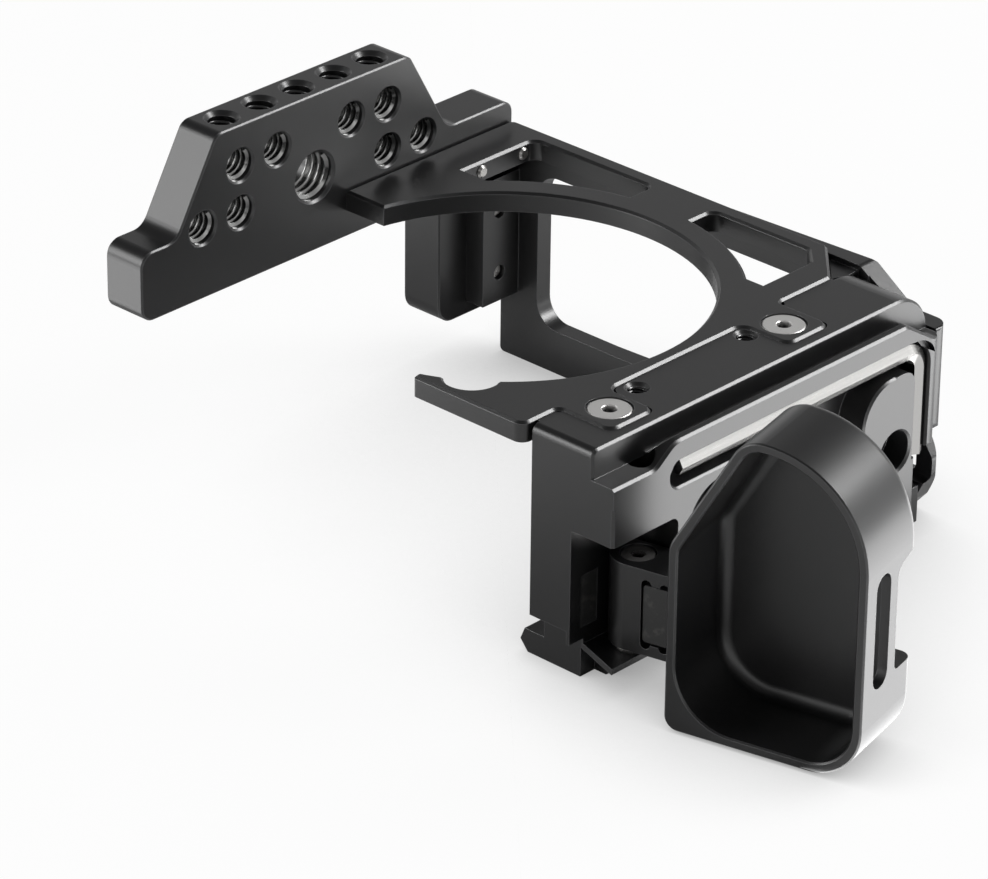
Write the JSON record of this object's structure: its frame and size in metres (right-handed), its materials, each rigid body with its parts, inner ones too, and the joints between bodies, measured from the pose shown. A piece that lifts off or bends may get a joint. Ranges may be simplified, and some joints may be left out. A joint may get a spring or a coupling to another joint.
{
  "type": "camera cage",
  "caption": "Black anodised camera half cage with a drilled top fin, an open front ring, a dovetail base with a stowed hex key, and a grip cup that swings on a hinge.",
  "frame": {"origin": "on the lens axis, in the plane of the rear faces that the cage lies on", "axes": "+Z the way the lens looks, +Y towards the top of the camera, +X away from the camera's hand grip"},
  "size_m": [0.1013, 0.1659, 0.07],
  "materials": {
    "anodised": "fine matte black anodised, bright machined edge breaks",
    "insert_steel": "stainless thread wire",
    "screw_steel": "satin stainless",
    "magnet_nickel": "nickel plated",
    "magnet_dark": "dark nickel plated",
    "pad_rubber": "matte",
    "key_steel": "bright satin nickel",
    "clip_steel": "spring steel"
  },
  "bodies": {
    "frame": {"top_plate": "anodised", "front_ring": "anodised", "base_plate": "anodised", "side_frame": "anodised", "quarter_inserts": "insert_steel", "three_eighth_insert": "insert_steel", "ring_screws": "screw_steel", "top_ring_screws": "screw_steel", "top_frame_screws": "screw_steel", "foot_screws": "screw_steel", "dowel_pins": "screw_steel", "hinge_screw": "screw_steel", "hinge_washer": "screw_steel", "keeper_magnet": "magnet_nickel", "key_magnets": "magnet_nickel", "base_pad": "pad_rubber", "side_pad": "pad_rubber", "rear_pad": "pad_rubber"},
    "cup": {"grip_cup": "anodised", "latch_magnet": "magnet_dark"},
    "key": {"hex_key": "key_steel"},
    "screw": {"camera_screw": "screw_steel", "screw_clip": "clip_steel"}
  },
  "joints": [
    {"name": "cup_swing", "type": "hinge", "parent": "frame", "child": "cup", "pos_m": [-0.0248, -0.056, 0.0158], "axis": [0, 0, 1], "range_deg": [-103, 0]},
    {"name": "key_lift", "type": "slide", "parent": "frame", "child": "key", "axis": [0, -1, 0], "range_m": [0, 0.008]},
    {"name": "camera_screw_turn", "type": "hinge", "parent": "frame", "child": "screw", "pos_m": [0, -0.05, 0.024], "axis": [0, 1, 0], "continuous": true}
  ]
}
